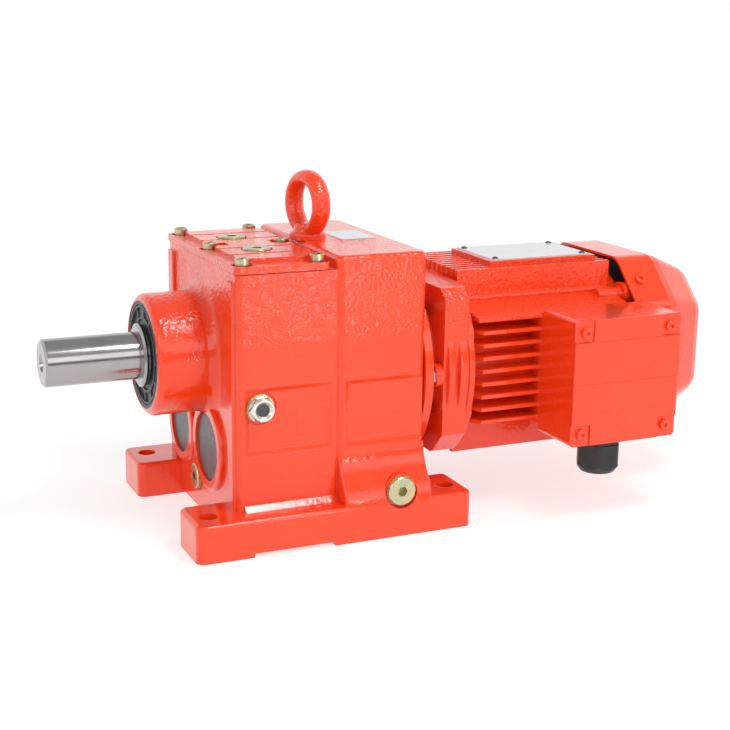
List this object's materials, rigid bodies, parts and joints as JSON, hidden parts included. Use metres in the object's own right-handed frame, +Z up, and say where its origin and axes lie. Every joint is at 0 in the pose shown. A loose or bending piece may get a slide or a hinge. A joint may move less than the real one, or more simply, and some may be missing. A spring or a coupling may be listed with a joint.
{
  "type": "inline gear reducer",
  "caption": "Foot-mounted inline helical gear reducer with a solid keyed output shaft, driven by a flanged fan-cooled motor with a side terminal box.",
  "frame": {"origin": "centre of the four foot holes, on the plane that the feet stand on", "axes": "+X runs from the output end towards the motor's fan, -Y faces the terminal box side, +Z is up"},
  "size_m": [0.5425, 0.2304, 0.2617],
  "materials": {
    "red_paint": "gloss",
    "turned_steel": "fine turned",
    "gear_steel": "ground",
    "bearing_steel": "polished",
    "yellow_zinc": "passivated zinc",
    "white_zinc": "bright zinc",
    "grey_cap": "satin",
    "seal_rubber": "moulded",
    "fibre_gasket": "matt",
    "sight_lens": "clear",
    "black_nylon": "satin",
    "plate_alloy": "satin",
    "core_laminations": "stacked sheet",
    "copper_winding": "varnished",
    "fan_plastic": "moulded",
    "block_plastic": "moulded",
    "stud_brass": "bright"
  },
  "bodies": {
    "housing": {"gear_case": "red_paint", "inspection_cover": "red_paint", "cover_gasket": "fibre_gasket", "cover_screws": "yellow_zinc", "vent_plug": "yellow_zinc", "filler_plug": "yellow_zinc", "eye_bolt": "red_paint", "sight_glass_body": "white_zinc", "sight_glass_lens": "sight_lens", "drain_plug": "yellow_zinc", "front_plug": "yellow_zinc", "plug_washers": "stud_brass", "large_front_cap": "grey_cap", "small_front_cap": "grey_cap", "output_seal": "seal_rubber", "motor_adapter": "red_paint", "input_seal": "seal_rubber", "adapter_screws": "yellow_zinc", "motor_front_shield": "red_paint", "flange_studs": "white_zinc", "stator_housing": "red_paint", "stator_core": "core_laminations", "windings": "copper_winding", "motor_rear_shield": "red_paint", "fan_cowl": "red_paint", "cowl_screws": "red_paint", "terminal_box": "red_paint", "lid_gasket": "fibre_gasket", "terminal_lid": "red_paint", "lid_screws": "red_paint", "terminal_block": "block_plastic", "terminal_studs": "stud_brass", "gland_body": "black_nylon", "gland_nut": "black_nylon", "gland_seal": "seal_rubber", "gear_plate": "plate_alloy", "motor_plate": "plate_alloy", "plate_rivets": "plate_alloy", "output_bearing_outer_rings": "bearing_steel", "intermediate_bearing_outer_rings": "bearing_steel", "motor_bearing_outer_rings": "bearing_steel"},
    "output_line": {"output_shaft": "turned_steel", "output_wheel_key": "gear_steel", "output_spacer": "gear_steel", "output_circlip": "gear_steel", "output_wheel": "gear_steel", "output_bearing_inner_rings": "bearing_steel"},
    "intermediate_line": {"intermediate_wheel": "gear_steel", "intermediate_shaft": "gear_steel", "intermediate_key": "gear_steel", "intermediate_spacer": "gear_steel", "intermediate_bearing_inner_rings": "bearing_steel"},
    "rotor": {"motor_pinion": "gear_steel", "rotor_core": "core_laminations", "rotor_shaft": "turned_steel", "cooling_fan": "fan_plastic", "motor_bearing_inner_rings": "bearing_steel"},
    "output_balls": {"output_bearing_balls": "bearing_steel"},
    "intermediate_balls": {"intermediate_bearing_balls": "bearing_steel"},
    "rotor_balls": {"motor_bearing_balls": "bearing_steel"}
  },
  "joints": [
    {"name": "output_spin", "type": "hinge", "parent": "housing", "child": "output_line", "pos_m": [0, 0, 0.13], "axis": [1, 0, 0], "continuous": true},
    {"name": "intermediate_spin", "type": "hinge", "parent": "housing", "child": "intermediate_line", "pos_m": [0, -0.0185, 0.06], "axis": [1, 0, 0], "continuous": true},
    {"name": "rotor_spin", "type": "hinge", "parent": "housing", "child": "rotor", "pos_m": [0, 0, 0.1126], "axis": [1, 0, 0], "continuous": true},
    {"name": "output_balls_spin", "type": "hinge", "parent": "housing", "child": "output_balls", "pos_m": [0, 0, 0.13], "axis": [1, 0, 0], "continuous": true},
    {"name": "intermediate_balls_spin", "type": "hinge", "parent": "housing", "child": "intermediate_balls", "pos_m": [0, -0.0185, 0.06], "axis": [1, 0, 0], "continuous": true},
    {"name": "rotor_balls_spin", "type": "hinge", "parent": "housing", "child": "rotor_balls", "pos_m": [0, 0, 0.1126], "axis": [1, 0, 0], "continuous": true}
  ],
  "couplings": [
    {"joint": "intermediate_spin", "follows": "output_spin", "ratio": -4.0714},
    {"joint": "rotor_spin", "follows": "output_spin", "ratio": 18.165},
    {"joint": "output_balls_spin", "follows": "output_spin", "ratio": 0.401},
    {"joint": "intermediate_balls_spin", "follows": "output_spin", "ratio": -1.6326},
    {"joint": "rotor_balls_spin", "follows": "output_spin", "ratio": 7.2841}
  ]
}
